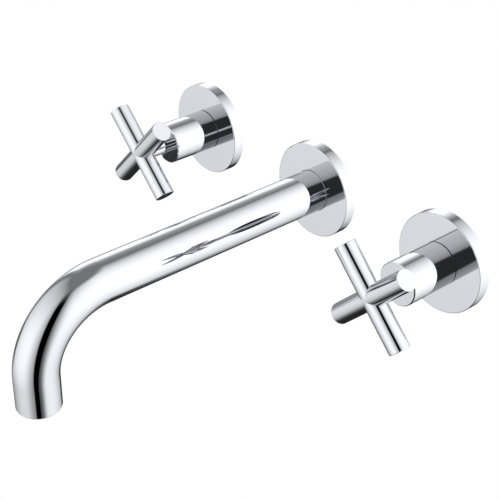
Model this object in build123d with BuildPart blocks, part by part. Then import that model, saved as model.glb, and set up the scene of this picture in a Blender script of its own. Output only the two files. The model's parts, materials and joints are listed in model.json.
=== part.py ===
from build123d import *
import os
from math import cos, pi, sin

os.makedirs("parts", exist_ok=True)

# All lengths are in millimetres and all angles in degrees.
# X runs to the right as seen from the room, Y runs from the room into the wall, Z is up.
# The finished wall face is the plane Y = 0, and the spout axis is X = Z = 0.
# A depth is a Y value: negative in the room, positive inside the wall.

# Layout
handle_spacing = 200.0

# Clearances, all on the radius
turning_clearance = 0.05
sliding_clearance = 0.05
cover_clearance = 0.15

# Wall flanges
flange_diameter = 58.0
flange_height = 7.0
flange_shell = 2.0
flange_edge = 0.5

# Foam rings behind the flanges
gasket_width = 4.0
gasket_side_gap = 0.3

# Spout tube
spout_diameter = 25.0
spout_wall = 1.5
spout_reach = 200.0
spout_bend_radius = 42.5
spout_drop = 61.0
spout_rear_depth = 4.0
outlet_edge = 0.5

# Brass bush soldered into the rear end of the spout tube
bush_length = 28.0
bush_bore_diameter = 18.2

# Nipple that carries the spout
nipple_bore_diameter = 12.0
nipple_hex_across = 22.0
nipple_hex_height = 4.0
nipple_tip_depth = -22.0
nipple_thread_end_gap = 1.0
o_ring_width = 2.0
o_ring_side_gap = 0.2
o_ring_groove_drop = 1.6
o_ring_tip_margin = 3.0

# Set screws
spout_screw_diameter = 5.0
spout_screw_depth = -12.0
spout_screw_length = 2.8
handle_screw_diameter = 4.0
handle_screw_depth = -25.0
handle_screw_length = 7.0
set_screw_seat_gap = 0.05
socket_across = 2.0
socket_reach = 1.8

# Aerator in the outlet
aerator_recess = 1.0
aerator_height = 9.0
aerator_ring_wall = 1.7
aerator_lip_height = 1.0
aerator_lip_width = 0.8
aerator_insert_height = 7.0
grille_cell = 2.3
grille_pitch = 3.1
grille_rows = 5
grille_cell_height = 4.0

# Handle bases
base_diameter = 25.0
base_front_depth = -39.0
base_running_gap = 0.4
base_wall = 1.8
base_hub_depth = -19.0
base_hub_floor = 2.0
base_edge = 0.5

# Cross heads
arm_diameter = 12.0
arm_span = 62.0
arm_depth = -57.5
arm_edge = 0.4
stem_diameter = 10.4
tail_diameter = 8.0
tail_length = 6.0
tail_end_gap = 0.2
left_rest_angle = 48.0
right_rest_angle = 46.0

# Pipe thread G 1/2, drawn plain: joints between pieces at the pitch diameter, free sockets at the core
pipe_pitch_diameter = 19.8
pipe_core_diameter = 18.6
pipe_socket_length = 14.0

# Valve bodies and the spout tee
body_across = 34.0
body_front_depth = 24.0
body_back_depth = 62.0
thread_engagement = 11.5
body_back_wall = 2.0
chamber_diameter = 22.0
barrel_guide_length = 4.0
seat_port_diameter = 11.0
seat_port_length = 6.0
inlet_across = 27.0
inlet_drop = 36.0
inlet_back_gap = 0.5
inlet_passage_width = 8.0
inlet_passage_rise = 4.0
link_passage_diameter = 10.0
waterway_setback = 4.0

# Copper link tubes and the sockets that they are soldered into
link_diameter = 15.0
link_wall = 1.0
link_socket_length = 8.0
link_boss_diameter = 21.0
link_boss_reach = 24.0

# Mounting bar
bar_overhang = 40.0
bar_width = 40.0
bar_thickness = 3.0
slot_end_margin = 10.0
slot_side_margin = 8.0
slot_length = 12.0
slot_width = 5.5

# Countersunk screws that hold the bodies to the bar
bar_screw_diameter = 5.0
bar_screw_head_diameter = 9.2
bar_screw_length = 12.0
bar_screw_spacing = 20.0
bar_screw_height = 9.0
bar_hole_clearance = 0.3
screw_hole_end_gap = 1.0

# Sealing washers
washer_thickness = 1.5
washer_bore_gap = 0.1
washer_width = 2.0

# Quarter-turn valve cartridges
cartridge_hex_across = 22.0
cartridge_hex_height = 4.5
neck_diameter = 17.8
neck_front_depth = 8.0
cartridge_thread_end_gap = 0.5
barrel_thread_drop = 0.9
barrel_wall = 1.0
window_width = 9.0
window_height = 5.5
window_margin = 0.5
thrust_depth = 30.0

# Ceramic discs and the seal under them
disc_thickness = 3.0
disc_port_inner_diameter = 4.4
disc_port_outer_diameter = 13.0
disc_port_angle = 76.0
disc_lug_width = 3.0
disc_lug_height = 0.8
seal_height = 2.6
seal_bite = 1.5

# Cartridge spindles
spindle_diameter = 9.0
spindle_foot_height = 3.0
spindle_groove_depth = 12.0
spindle_groove_drop = 1.1
tongue_width = 4.6
tongue_length = 13.0
tongue_bite = 1.0
spline_diameter = 8.0
spline_tooth_height = 0.5
spline_teeth = 20
spline_end_gap = 1.0

# Sleeves that carry the handle flanges
sleeve_diameter = 21.8
sleeve_front_drop = 0.8
sleeve_rear_gap = 0.1

# Sizes that follow from the ones above
valve_x = handle_spacing / 2
flange_radius = flange_diameter / 2
spout_radius = spout_diameter / 2
spout_bore_radius = spout_radius - spout_wall
bush_bore_radius = bush_bore_diameter / 2
nipple_bore_radius = nipple_bore_diameter / 2
spigot_radius = bush_bore_radius - sliding_clearance
spout_o_ring_depth = nipple_tip_depth + o_ring_tip_margin
o_ring_groove_half = o_ring_width / 2 + o_ring_side_gap
base_radius = base_diameter / 2
base_bore_radius = base_radius - base_wall
base_rear_depth = -flange_height - base_running_gap
tail_hole_end = base_front_depth + tail_length
spline_radius = spline_diameter / 2
spline_socket_length = base_hub_depth - tail_hole_end - base_hub_floor
spline_length = spline_socket_length - spline_end_gap
tail_radius = tail_diameter / 2
tail_hole_radius = tail_radius + sliding_clearance
pipe_radius = pipe_pitch_diameter / 2
pipe_male_radius = pipe_radius - sliding_clearance
chamber_start_depth = body_front_depth + thread_engagement
inlet_depth = body_back_depth - inlet_across / 2 - inlet_back_gap
inlet_passage_depth = body_back_depth - body_back_wall - inlet_passage_width / 2
seat_depth = inlet_passage_depth - seat_port_length
chamber_end_depth = seat_depth - barrel_guide_length
waterway_depth = chamber_end_depth - waterway_setback
link_radius = link_diameter / 2
link_passage_radius = link_passage_diameter / 2
link_end_x = link_boss_reach - link_socket_length
bar_length = handle_spacing + 2 * bar_overhang
bar_back_depth = body_back_depth + bar_thickness
bar_screw_radius = bar_screw_diameter / 2
washer_depth = body_front_depth - washer_thickness
washer_bore_radius = pipe_radius + washer_bore_gap
cartridge_hex_depth = washer_depth - cartridge_hex_height
neck_radius = neck_diameter / 2
barrel_radius = pipe_radius - barrel_thread_drop
barrel_bore_radius = barrel_radius - barrel_wall
barrel_end_depth = seat_depth - seal_bite
cartridge_thread_end = chamber_start_depth - cartridge_thread_end_gap
window_depth = chamber_start_depth + window_margin
disc_radius = barrel_bore_radius - turning_clearance
fixed_disc_depth = seat_depth - seal_height - disc_thickness
moving_disc_depth = fixed_disc_depth - disc_thickness
spindle_radius = spindle_diameter / 2
spindle_bore_radius = spindle_radius + turning_clearance
spindle_foot_depth = thrust_depth + turning_clearance
spindle_groove_radius = spindle_radius - spindle_groove_drop
spindle_front_depth = base_hub_depth + base_running_gap
sleeve_radius = sleeve_diameter / 2
sides = {"left": -1, "right": 1}
rest_angles = {"left": left_rest_angle, "right": right_rest_angle}
body_places = (-valve_x, 0, valve_x)


# Plane at a depth that looks out of the wall, with its Y along Z
def facing_room(depth, x=0.0):
    return Plane(origin=(x, depth, 0), x_dir=(1, 0, 0), z_dir=(0, -1, 0))


# Plane for a turned outline, whose X is the depth and whose Y is the radius
def half_section(x=0.0):
    return Plane(origin=(x, 0, 0), x_dir=(0, 1, 0), z_dir=(1, 0, 0))


# Plane that looks down at a height, for what is drilled or screwed in from below
def facing_down(z, depth, x=0.0):
    return Plane(origin=(x, depth, z), x_dir=(1, 0, 0), z_dir=(0, 0, -1))


def depth_axis(x=0.0):
    return Axis((x, 0, 0), (0, 1, 0))


def save(piece, name):
    piece.part.label = name
    export_step(piece.part, f"parts/{name}.step")


# Plain ring about the depth axis
def make_ring(x, front_depth, rear_depth, inner_radius, outer_radius):
    with BuildPart() as ring:
        with BuildSketch(facing_room(rear_depth, x)):
            Circle(outer_radius)
            Circle(inner_radius, mode=Mode.SUBTRACT)
        extrude(amount=rear_depth - front_depth)
    return ring


# The same ring at several places, as one node of separate solids
def make_rings(places, front_depth, rear_depth, inner_radius, outer_radius):
    with BuildPart() as rings:
        with BuildSketch(*[facing_room(rear_depth, x) for x in places]):
            Circle(outer_radius)
            Circle(inner_radius, mode=Mode.SUBTRACT)
        extrude(amount=rear_depth - front_depth)
    return rings


# A flange is a shallow cup, open to the wall, with a hole for what it goes round.
def make_flange(x, hole_radius):
    with BuildPart() as flange:
        with BuildSketch(half_section(x)):
            with BuildLine():
                Polyline(
                    (0, flange_radius),
                    (flange_edge - flange_height, flange_radius),
                    (-flange_height, flange_radius - flange_edge),
                    (-flange_height, hole_radius),
                    (flange_shell - flange_height, hole_radius),
                    (flange_shell - flange_height, flange_radius - flange_shell),
                    (0, flange_radius - flange_shell),
                    close=True,
                )
            make_face()
        revolve(axis=depth_axis(x))
    return flange


save(make_flange(0, spout_radius + cover_clearance), "spout_flange")
for side, sign in sides.items():
    save(make_flange(sign * valve_x, sleeve_radius + sliding_clearance), f"{side}_flange")

# The foam rings lie in the cups and stand level with the flange rims.
gasket_radius = flange_radius - flange_shell - gasket_side_gap
wall_gaskets = make_rings(
    body_places, flange_shell - flange_height, 0, gasket_radius - gasket_width, gasket_radius
)
save(wall_gaskets, "wall_gaskets")

# The spout tube runs straight out and turns down in one bend.
with BuildPart() as spout_tube:
    with BuildLine(Plane.YZ):
        outward = Line((spout_rear_depth, 0), (spout_bend_radius - spout_reach, 0))
        bend = TangentArc(outward @ 1, (-spout_reach, -spout_bend_radius), tangent=outward % 1)
        Line(bend @ 1, (-spout_reach, -spout_drop))
    with BuildSketch(facing_room(spout_rear_depth)):
        Circle(spout_radius)
        Circle(spout_bore_radius, mode=Mode.SUBTRACT)
    sweep()
    outlet_circles = spout_tube.edges().filter_by(GeomType.CIRCLE).group_by(Axis.Z)[0]
    chamfer(outlet_circles.sort_by(SortBy.LENGTH)[-1], outlet_edge)
    with Locations(facing_down(-spout_radius, spout_screw_depth)):
        Hole(spout_screw_diameter / 2, depth=spout_radius)
save(spout_tube, "spout_tube")

with BuildPart() as spout_bush:
    with BuildSketch(facing_room(spout_rear_depth)):
        Circle(spout_bore_radius - sliding_clearance)
        Circle(bush_bore_radius, mode=Mode.SUBTRACT)
    extrude(amount=bush_length)
    with Locations(facing_down(-spout_radius, spout_screw_depth)):
        Hole(spout_screw_diameter / 2, depth=spout_radius)
save(spout_bush, "spout_bush")

# The nipple screws into the tee, and its spigot slides into the bush.
with BuildPart() as spout_nipple:
    with BuildSketch(half_section()):
        with BuildLine():
            Polyline(
                (nipple_tip_depth, nipple_bore_radius),
                (nipple_tip_depth, spigot_radius),
                (washer_depth, spigot_radius),
                (washer_depth, pipe_male_radius),
                (chamber_start_depth - nipple_thread_end_gap, pipe_male_radius),
                (chamber_start_depth - nipple_thread_end_gap, nipple_bore_radius),
                close=True,
            )
        make_face()
        with Locations((spout_o_ring_depth, spigot_radius)):
            Rectangle(o_ring_groove_half * 2, o_ring_groove_drop * 2, mode=Mode.SUBTRACT)
    revolve(axis=depth_axis())
    with BuildSketch(facing_room(washer_depth)):
        RegularPolygon(nipple_hex_across / 2, 6, major_radius=False)
        Circle(nipple_bore_radius, mode=Mode.SUBTRACT)
    extrude(amount=nipple_hex_height)
save(spout_nipple, "spout_nipple")

spout_o_ring = make_ring(
    0,
    spout_o_ring_depth - o_ring_width / 2,
    spout_o_ring_depth + o_ring_width / 2,
    spigot_radius - o_ring_groove_drop,
    spigot_radius,
)
save(spout_o_ring, "spout_o_ring")


# Hollow set screw that points up, its tip at a given drop below the axis
def make_set_screw(x, depth, tip_drop, diameter, length):
    with BuildPart() as screw:
        with BuildSketch(facing_down(-tip_drop, depth, x)):
            Circle(diameter / 2 - sliding_clearance)
        extrude(amount=length)
        with BuildSketch(facing_down(-tip_drop - length, depth, x)):
            RegularPolygon(socket_across / 2, 6, major_radius=False)
        extrude(amount=-socket_reach, mode=Mode.SUBTRACT)
    return screw


spout_screw = make_set_screw(
    0,
    spout_screw_depth,
    spigot_radius + set_screw_seat_gap,
    spout_screw_diameter,
    spout_screw_length,
)
save(spout_screw, "spout_set_screw")

# The aerator ring screws into the outlet and holds the insert on its lip.
aerator_bottom = aerator_recess - spout_drop
aerator_ring_radius = spout_bore_radius - sliding_clearance
aerator_bore_radius = aerator_ring_radius - aerator_ring_wall
with BuildPart() as aerator_ring:
    with BuildSketch(Plane.XY.offset(aerator_bottom)):
        with Locations((0, -spout_reach)):
            Circle(aerator_ring_radius)
            Circle(aerator_bore_radius - aerator_lip_width, mode=Mode.SUBTRACT)
    extrude(amount=aerator_height)
    with BuildSketch(Plane.XY.offset(aerator_bottom + aerator_lip_height)):
        with Locations((0, -spout_reach)):
            Circle(aerator_bore_radius)
    extrude(amount=aerator_height, mode=Mode.SUBTRACT)
save(aerator_ring, "aerator_ring")

# The insert is a plug with square cells open downwards, without the four corner cells.
grille_steps = range(-(grille_rows // 2), grille_rows // 2 + 1)
grille_places = [
    (grille_pitch * column, grille_pitch * row - spout_reach)
    for column in grille_steps
    for row in grille_steps
    if abs(column) + abs(row) < grille_rows - 1
]
with BuildPart() as aerator_insert:
    with BuildSketch(Plane.XY.offset(aerator_bottom + aerator_lip_height)):
        with Locations((0, -spout_reach)):
            Circle(aerator_bore_radius - sliding_clearance)
    extrude(amount=aerator_insert_height)
    with BuildSketch(Plane.XY.offset(aerator_bottom + aerator_lip_height)):
        with Locations(*grille_places):
            Rectangle(grille_cell, grille_cell)
    extrude(amount=grille_cell_height, mode=Mode.SUBTRACT)
save(aerator_insert, "aerator_insert")

# The tee joins both link tubes and passes the mixed water out to the nipple.
with BuildPart() as spout_tee:
    with BuildSketch(facing_room(body_back_depth)):
        RegularPolygon(body_across / 2, 8, major_radius=False)
    extrude(amount=body_back_depth - body_front_depth)
    for sign in sides.values():
        with BuildSketch(Plane.YZ.offset(sign * link_boss_reach)):
            with Locations((waterway_depth, 0)):
                Circle(link_boss_diameter / 2)
        extrude(amount=-sign * link_boss_reach)
        with BuildSketch(Plane.YZ.offset(sign * link_boss_reach)):
            with Locations((waterway_depth, 0)):
                Circle(link_radius + sliding_clearance)
        extrude(amount=-sign * link_socket_length, mode=Mode.SUBTRACT)
    with BuildSketch(Plane.YZ.offset(-link_end_x)):
        with Locations((waterway_depth, 0)):
            Circle(link_passage_radius)
    extrude(amount=link_end_x * 2, mode=Mode.SUBTRACT)
    with BuildSketch(facing_room(chamber_start_depth)):
        Circle(pipe_radius)
    extrude(amount=thread_engagement, mode=Mode.SUBTRACT)
    with BuildSketch(facing_room(waterway_depth)):
        Circle(nipple_bore_radius)
    extrude(amount=waterway_depth - chamber_start_depth, mode=Mode.SUBTRACT)
save(spout_tee, "spout_tee")


# Water comes up the inlet, passes the seat into the cartridge, leaves it through its windows
# into the chamber, and runs along the link tube to the tee.
def make_valve_body(sign):
    x = sign * valve_x
    with BuildPart() as body:
        with BuildSketch(facing_room(body_back_depth, x)):
            RegularPolygon(body_across / 2, 8, major_radius=False)
        extrude(amount=body_back_depth - body_front_depth)
        with BuildSketch(facing_down(0, inlet_depth, x)):
            RegularPolygon(inlet_across / 2, 6, major_radius=False)
        extrude(amount=inlet_drop)
        with BuildSketch(Plane.YZ.offset(x)):
            with Locations((waterway_depth, 0)):
                Circle(link_boss_diameter / 2)
        extrude(amount=-sign * link_boss_reach)
        with BuildSketch(half_section(x)):
            with BuildLine():
                Polyline(
                    (body_front_depth, 0),
                    (body_front_depth, pipe_radius),
                    (chamber_start_depth, pipe_radius),
                    (chamber_start_depth, chamber_diameter / 2),
                    (chamber_end_depth, chamber_diameter / 2),
                    (chamber_end_depth, barrel_radius + sliding_clearance),
                    (seat_depth, barrel_radius + sliding_clearance),
                    (seat_depth, seat_port_diameter / 2),
                    (inlet_passage_depth, seat_port_diameter / 2),
                    (inlet_passage_depth, 0),
                    close=True,
                )
            make_face()
        revolve(axis=depth_axis(x), mode=Mode.SUBTRACT)
        with Locations(facing_down(-inlet_drop, inlet_depth, x)):
            Hole(pipe_core_diameter / 2, depth=pipe_socket_length)
        with BuildSketch(facing_down(inlet_passage_rise, inlet_passage_depth, x)):
            Rectangle(inlet_passage_width, inlet_passage_width)
        extrude(amount=inlet_drop + inlet_passage_rise - pipe_socket_length, mode=Mode.SUBTRACT)
        with BuildSketch(Plane.YZ.offset(x - sign * link_boss_reach)):
            with Locations((waterway_depth, 0)):
                Circle(link_radius + sliding_clearance)
        extrude(amount=sign * link_socket_length, mode=Mode.SUBTRACT)
        with BuildSketch(Plane.YZ.offset(x - sign * link_boss_reach)):
            with Locations((waterway_depth, 0)):
                Circle(link_passage_radius)
        extrude(amount=sign * (link_boss_reach - barrel_bore_radius), mode=Mode.SUBTRACT)
        for screw_x in (-bar_screw_spacing / 2, bar_screw_spacing / 2):
            with BuildSketch(facing_room(body_back_depth, x)):
                with Locations((screw_x, bar_screw_height)):
                    Circle(bar_screw_radius)
            extrude(amount=bar_screw_length - bar_thickness + screw_hole_end_gap, mode=Mode.SUBTRACT)
    return body


# Soldered copper tube from a valve body to the tee
def make_link_tube(sign):
    with BuildPart() as tube:
        with BuildSketch(Plane.YZ.offset(sign * link_end_x)):
            with Locations((waterway_depth, 0)):
                Circle(link_radius)
                Circle(link_radius - link_wall, mode=Mode.SUBTRACT)
        extrude(amount=sign * (valve_x - 2 * link_end_x))
    return tube


for side, sign in sides.items():
    save(make_valve_body(sign), f"{side}_valve_body")
    save(make_link_tube(sign), f"{side}_link_tube")

# The bar carries the valve bodies, and its slotted ends are screwed to the wall's studwork.
screw_places = [
    (x + offset, bar_screw_height)
    for x in (-valve_x, valve_x)
    for offset in (-bar_screw_spacing / 2, bar_screw_spacing / 2)
]
with BuildPart() as mounting_bar:
    with BuildSketch(facing_room(bar_back_depth)):
        Rectangle(bar_length, bar_width)
        with GridLocations(bar_length - 2 * slot_end_margin, bar_width - 2 * slot_side_margin, 2, 2):
            SlotOverall(slot_length, slot_width, mode=Mode.SUBTRACT)
    extrude(amount=bar_thickness)
    with Locations(Plane(origin=(0, bar_back_depth, 0), x_dir=(1, 0, 0), z_dir=(0, 1, 0))):
        with Locations(*[(x, -z) for x, z in screw_places]):
            CounterSinkHole(
                bar_screw_radius + bar_hole_clearance,
                bar_screw_head_diameter / 2 + sliding_clearance,
                depth=bar_thickness,
                counter_sink_angle=90,
            )
save(mounting_bar, "mounting_bar")

with BuildPart() as bar_screws:
    screw_radius = bar_screw_radius - sliding_clearance
    head_radius = bar_screw_head_diameter / 2
    upward = (Align.CENTER, Align.CENTER, Align.MIN)
    with Locations(facing_room(bar_back_depth)):
        with Locations(*screw_places):
            Cone(head_radius, screw_radius, head_radius - screw_radius, align=upward)
            Cylinder(screw_radius, bar_screw_length, align=upward)
save(bar_screws, "bar_screws")

# One fibre washer seals the nipple, and one each of the cartridges.
sealing_washers = make_rings(
    body_places, washer_depth, body_front_depth, washer_bore_radius, washer_bore_radius + washer_width
)
save(sealing_washers, "sealing_washers")


# Cartridge body: neck for the sleeve, hexagon, thread, and a thin barrel round the discs
def make_cartridge_body(x):
    with BuildPart() as body:
        with BuildSketch(half_section(x)):
            with BuildLine():
                Polyline(
                    (neck_front_depth, spindle_bore_radius),
                    (neck_front_depth, neck_radius),
                    (washer_depth, neck_radius),
                    (washer_depth, pipe_male_radius),
                    (cartridge_thread_end, pipe_male_radius),
                    (cartridge_thread_end, barrel_radius),
                    (barrel_end_depth, barrel_radius),
                    (barrel_end_depth, barrel_bore_radius),
                    (thrust_depth, barrel_bore_radius),
                    (thrust_depth, spindle_bore_radius),
                    close=True,
                )
            make_face()
        revolve(axis=depth_axis(x))
        with BuildSketch(facing_room(washer_depth, x)):
            RegularPolygon(cartridge_hex_across / 2, 6, major_radius=False)
            Circle(spindle_bore_radius, mode=Mode.SUBTRACT)
        extrude(amount=cartridge_hex_height)
        with BuildSketch(facing_room(window_depth + window_height, x)):
            Rectangle(2 * pipe_radius, window_width)
        extrude(amount=window_height, mode=Mode.SUBTRACT)
        with BuildSketch(facing_room(barrel_end_depth, x)):
            Rectangle(disc_lug_width + 2 * sliding_clearance, 2 * pipe_radius)
        extrude(amount=barrel_end_depth - fixed_disc_depth, mode=Mode.SUBTRACT)
    return body


# Outline of the two water ports of a disc, centred on a given angle
def make_port_faces(angle, plane):
    with BuildSketch(plane) as ports:
        for start in (angle, angle + 180):
            with BuildLine():
                inner = CenterArc(
                    (0, 0), disc_port_inner_diameter / 2, start - disc_port_angle / 2, disc_port_angle
                )
                outer = CenterArc(
                    (0, 0), disc_port_outer_diameter / 2, start - disc_port_angle / 2, disc_port_angle
                )
                Line(inner @ 0, outer @ 0)
                Line(inner @ 1, outer @ 1)
            make_face()
    return ports.sketch


def make_fixed_discs():
    with BuildPart() as discs:
        for x in (-valve_x, valve_x):
            with BuildSketch(facing_room(fixed_disc_depth + disc_thickness, x)):
                Circle(disc_radius)
                Rectangle(disc_lug_width, 2 * (barrel_bore_radius + disc_lug_height))
            extrude(amount=disc_thickness)
            ports = make_port_faces(0, facing_room(fixed_disc_depth + disc_thickness, x))
            extrude(ports, amount=disc_thickness, mode=Mode.SUBTRACT)
    return discs


save(make_fixed_discs(), "fixed_discs")
seat_seals = make_rings(
    (-valve_x, valve_x), seat_depth - seal_height, seat_depth, seat_port_diameter / 2, disc_radius
)
save(seat_seals, "seat_seals")


# The moving disc is closed at rest, its ports a quarter turn from those of the fixed disc.
def make_moving_disc(x):
    with BuildPart() as disc:
        with BuildSketch(facing_room(fixed_disc_depth, x)):
            Circle(disc_radius)
        extrude(amount=disc_thickness)
        ports = make_port_faces(90, facing_room(fixed_disc_depth, x))
        extrude(ports, amount=disc_thickness, mode=Mode.SUBTRACT)
        with BuildSketch(facing_room(moving_disc_depth + tongue_bite, x)):
            Rectangle(2 * disc_radius, tongue_width + 2 * sliding_clearance)
        extrude(amount=tongue_bite, mode=Mode.SUBTRACT)
    return disc


# Star outline of the fine spline between a spindle and its handle
def make_spline_face(plane, clearance):
    tip_radius = spline_radius + clearance
    root_radius = tip_radius - spline_tooth_height
    radii = [tip_radius, root_radius] * spline_teeth
    steps = [(pi * n / spline_teeth, radius) for n, radius in enumerate(radii)]
    with BuildSketch(plane) as star:
        with BuildLine():
            Polyline([(r * cos(turn), r * sin(turn)) for turn, r in steps], close=True)
        make_face()
    return star.sketch


# The spindle turns the moving disc with a tongue and carries the handle on its spline.
def make_spindle(x):
    with BuildPart() as spindle:
        with BuildSketch(half_section(x)):
            with BuildLine():
                Polyline(
                    (spindle_front_depth, 0),
                    (spindle_front_depth, spindle_radius),
                    (spindle_foot_depth, spindle_radius),
                    (spindle_foot_depth, disc_radius),
                    (spindle_foot_depth + spindle_foot_height, disc_radius),
                    (spindle_foot_depth + spindle_foot_height, 0),
                    close=True,
                )
            make_face()
            with Locations((spindle_groove_depth, spindle_radius)):
                Rectangle(o_ring_groove_half * 2, spindle_groove_drop * 2, mode=Mode.SUBTRACT)
        revolve(axis=depth_axis(x))
        with BuildSketch(facing_room(moving_disc_depth + tongue_bite, x)):
            Rectangle(tongue_length, tongue_width)
        extrude(amount=moving_disc_depth + tongue_bite - spindle_foot_depth)
        extrude(make_spline_face(facing_room(spindle_front_depth, x), 0), amount=spline_length)
    return spindle


# The base hides the sleeve, and its hub holds the spline, the set screw and the tail of the cross.
def make_handle_base(x):
    with BuildPart() as base:
        with BuildSketch(half_section(x)):
            with BuildLine():
                Polyline(
                    (base_rear_depth, base_bore_radius),
                    (base_rear_depth, base_radius),
                    (base_front_depth + base_edge, base_radius),
                    (base_front_depth, base_radius - base_edge),
                    (base_front_depth, tail_hole_radius),
                    (tail_hole_end, tail_hole_radius),
                    (tail_hole_end, 0),
                    (base_hub_depth, 0),
                    (base_hub_depth, base_bore_radius),
                    close=True,
                )
            make_face()
        revolve(axis=depth_axis(x))
        spline_face = make_spline_face(facing_room(base_hub_depth, x), sliding_clearance)
        extrude(spline_face, amount=spline_socket_length, mode=Mode.SUBTRACT)
        with Locations(facing_down(-base_radius, handle_screw_depth, x)):
            Hole(handle_screw_diameter / 2, depth=base_radius)
    return base


# Four round arms meet in a plain crossing on a round stem.
def make_cross_head(x, rest_angle):
    with BuildPart() as cross:
        for angle in (rest_angle, rest_angle + 90):
            direction = (cos(angle * pi / 180), 0, sin(angle * pi / 180))
            with BuildSketch(Plane(origin=(x, arm_depth, 0), z_dir=direction)):
                Circle(arm_diameter / 2)
            extrude(amount=arm_span / 2, both=True)
        end_faces = cross.faces().filter_by(GeomType.PLANE)
        chamfer(end_faces.edges(), arm_edge)
        with BuildSketch(facing_room(base_front_depth, x)):
            Circle(stem_diameter / 2)
        extrude(amount=base_front_depth - arm_depth)
        with BuildSketch(facing_room(base_front_depth, x)):
            Circle(tail_radius)
        extrude(amount=tail_end_gap - tail_length)
    return cross


for side, sign in sides.items():
    x = sign * valve_x
    save(make_cartridge_body(x), f"{side}_cartridge_body")
    sleeve_front = sleeve_front_drop - flange_height
    sleeve_rear = cartridge_hex_depth - sleeve_rear_gap
    sleeve = make_ring(x, sleeve_front, sleeve_rear, neck_radius + sliding_clearance, sleeve_radius)
    save(sleeve, f"{side}_sleeve")
    save(make_moving_disc(x), f"{side}_moving_disc")
    save(make_spindle(x), f"{side}_spindle")
    o_ring_front = spindle_groove_depth - o_ring_width / 2
    o_ring_rear = spindle_groove_depth + o_ring_width / 2
    o_ring = make_ring(x, o_ring_front, o_ring_rear, spindle_groove_radius, spindle_radius)
    save(o_ring, f"{side}_spindle_o_ring")
    save(make_handle_base(x), f"{side}_handle_base")
    screw_tip_drop = spline_radius + set_screw_seat_gap
    screw = make_set_screw(
        x, handle_screw_depth, screw_tip_drop, handle_screw_diameter, handle_screw_length
    )
    save(screw, f"{side}_set_screw")
    save(make_cross_head(x, rest_angles[side]), f"{side}_cross_head")
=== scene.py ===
import json
from math import cos, degrees, pi, radians, sin

import bmesh
import bpy
from mathutils import Matrix, Vector

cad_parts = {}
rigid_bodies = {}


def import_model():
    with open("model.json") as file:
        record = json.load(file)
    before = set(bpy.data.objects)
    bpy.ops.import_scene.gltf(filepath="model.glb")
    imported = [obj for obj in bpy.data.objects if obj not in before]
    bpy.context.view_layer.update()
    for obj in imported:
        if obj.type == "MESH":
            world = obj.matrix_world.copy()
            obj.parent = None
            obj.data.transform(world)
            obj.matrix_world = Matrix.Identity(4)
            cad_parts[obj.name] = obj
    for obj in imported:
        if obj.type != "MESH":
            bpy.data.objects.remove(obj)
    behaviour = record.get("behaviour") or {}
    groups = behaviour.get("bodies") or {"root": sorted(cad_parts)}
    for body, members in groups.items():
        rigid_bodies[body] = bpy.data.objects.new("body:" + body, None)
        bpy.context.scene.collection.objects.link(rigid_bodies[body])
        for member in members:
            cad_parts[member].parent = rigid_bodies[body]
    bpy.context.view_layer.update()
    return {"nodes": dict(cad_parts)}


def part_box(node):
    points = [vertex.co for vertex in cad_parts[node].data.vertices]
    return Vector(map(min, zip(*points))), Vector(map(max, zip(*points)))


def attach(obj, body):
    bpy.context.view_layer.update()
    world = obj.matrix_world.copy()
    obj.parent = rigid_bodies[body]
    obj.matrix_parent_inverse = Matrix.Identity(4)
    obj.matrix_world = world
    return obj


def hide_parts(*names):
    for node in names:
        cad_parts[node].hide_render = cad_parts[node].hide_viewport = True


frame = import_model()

scene = bpy.context.scene
nodes = frame["nodes"]

# From the spout's axis to that of a handle
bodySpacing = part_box("right_flange")[0].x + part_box("spout_flange")[1].x


# Node tools: a socket that can be written in sums, and one maker for every other node
class Sum:
    def __init__(self, tree, socket):
        self.tree = tree
        self.socket = socket

    def join(self, operation, first, second):
        values = {"i" + str(slot): value for slot, value in enumerate((first, second)) if value is not None}
        return self.tree.value(self.tree.node("ShaderNodeMath", {"operation": operation}, **values))

    def __add__(self, other):
        return self.join("ADD", self, other)

    __radd__ = __add__

    def __sub__(self, other):
        return self.join("SUBTRACT", self, other)

    def __rsub__(self, other):
        return self.join("SUBTRACT", other, self)

    def __mul__(self, other):
        return self.join("MULTIPLY", self, other)

    __rmul__ = __mul__

    def __truediv__(self, other):
        return self.join("DIVIDE", self, other)

    def __abs__(self):
        return self.join("ABSOLUTE", self, None)

    def function(self, operation):
        return self.join(operation, self, None)

    def within(self, low, high):
        atLeast = self.join("MAXIMUM", self, low)
        return self.join("MINIMUM", atLeast, high)


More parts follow.
